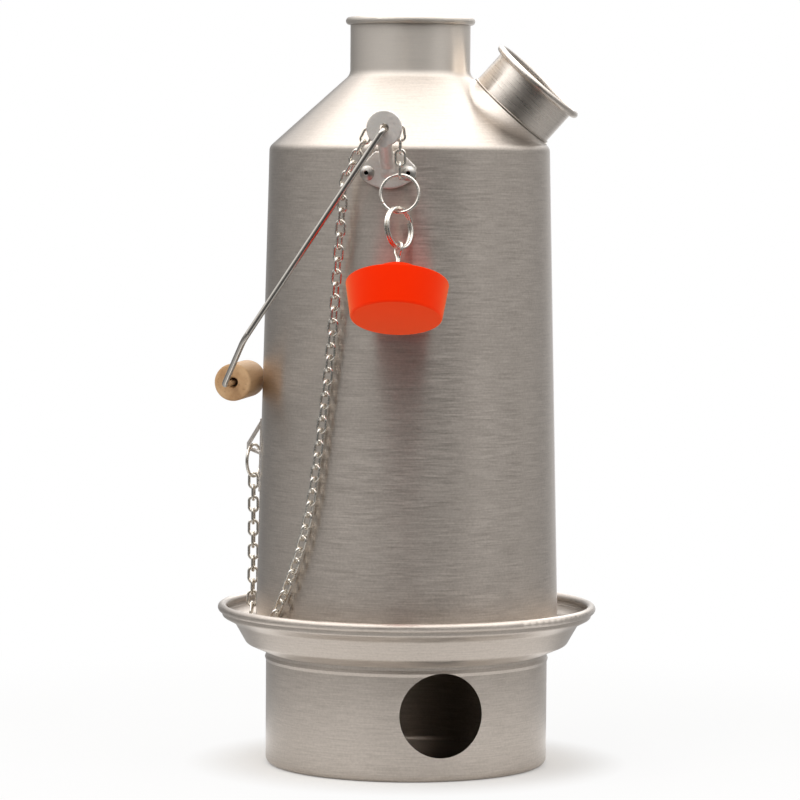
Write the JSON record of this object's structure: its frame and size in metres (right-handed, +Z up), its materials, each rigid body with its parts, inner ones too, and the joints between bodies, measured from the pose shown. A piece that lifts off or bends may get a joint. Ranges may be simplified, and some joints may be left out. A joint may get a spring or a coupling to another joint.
{
  "type": "storm kettle",
  "caption": "Chimney kettle of brushed stainless steel on a lift-off fire base, with a wire bail, wooden grip, side spout and an orange stopper on a chain.",
  "frame": {"origin": "middle of the underside of the fire base", "axes": "+Z up the chimney, +X to the spout, -Y to the front lug and the stopper"},
  "size_m": [0.18, 0.2054, 0.3541],
  "materials": {
    "steel": "brushed round the axis",
    "lug_steel": "tumbled, matt",
    "rivet_aluminium": "plain",
    "wire_steel": "bright drawn wire",
    "chain_nickel": "bright nickel",
    "wood": "turned, unvarnished",
    "silicone": "moulded, satin"
  },
  "bodies": {
    "base": {"fire_base": "steel"},
    "kettle": {"outer_shell": "steel", "flue": "steel", "spout": "steel", "front_lug": "lug_steel", "rear_lug": "lug_steel", "front_lug_rivets": "rivet_aluminium", "rear_lug_rivets": "rivet_aluminium", "chain_tab": "lug_steel", "tab_ring": "chain_nickel", "chain_drop": "chain_nickel", "chain_lug": "chain_nickel", "chain_run": "chain_nickel", "chain_dish": "chain_nickel", "chain_rise": "chain_nickel"},
    "bail": {"bail_wire": "wire_steel"},
    "grip": {"handle_grip": "wood"},
    "rings": {"stopper_ring": "chain_nickel", "link_ring": "chain_nickel"},
    "plug": {"stopper_eye": "chain_nickel", "stopper": "silicone"}
  },
  "joints": [
    {"name": "kettle_lift", "type": "slide", "parent": "base", "child": "kettle", "axis": [0, 0, 1], "range_m": [0, 0.1]},
    {"name": "bail_swing", "type": "hinge", "parent": "kettle", "child": "bail", "pos_m": [0, 0, 0.30027], "axis": [0, 1, 0], "range_deg": [0, 286]},
    {"name": "grip_spin", "type": "hinge", "parent": "bail", "child": "grip", "pos_m": [-0.07853, -0.014, 0.18195], "axis": [0, 1, 0], "continuous": true},
    {"name": "ring_swing", "type": "hinge", "parent": "kettle", "child": "rings", "pos_m": [0.0068, -0.07475, 0.27997], "axis": [-0.9959, -0.0906, 0], "range_deg": [0, 60]},
    {"name": "stopper_swing", "type": "hinge", "parent": "rings", "child": "plug", "pos_m": [0.00751, -0.08258, 0.24702], "axis": [-0.4685, -0.8618, 0.1946], "range_deg": [0, 45]}
  ]
}
